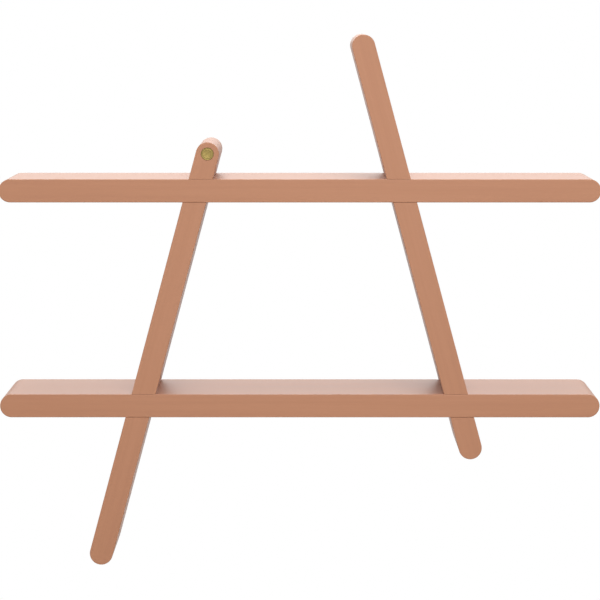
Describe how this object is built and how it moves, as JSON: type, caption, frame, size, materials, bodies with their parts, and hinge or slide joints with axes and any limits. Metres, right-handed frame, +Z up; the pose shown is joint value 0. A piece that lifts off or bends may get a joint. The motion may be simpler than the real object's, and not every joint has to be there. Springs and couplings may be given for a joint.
{
  "type": "wall shelf",
  "caption": "Wall shelf of level boards held by boards that lean to opposite sides, halved together, with hidden keyhole hangers in its rear edge.",
  "frame": {"origin": "middle of the upper shelf's rear edge, on the wall plane and at half that board's thickness", "axes": "+X to the right along the shelves, +Y into the wall, +Z up"},
  "size_m": [0.52, 0.12, 0.4603],
  "materials": {
    "lacquered_wood": "satin terracotta lacquer over fine straight grain",
    "brass": "fine turned",
    "zinc_plated_steel": "bright zinc plate"
  },
  "bodies": {
    "root": {"upper_shelf": "lacquered_wood", "lower_shelf": "lacquered_wood", "left_upright": "lacquered_wood", "right_upright": "lacquered_wood", "brass_badge": "brass", "left_hanger_plate": "zinc_plated_steel", "right_hanger_plate": "zinc_plated_steel", "hanger_screws": "zinc_plated_steel"}
  },
  "joints": []
}
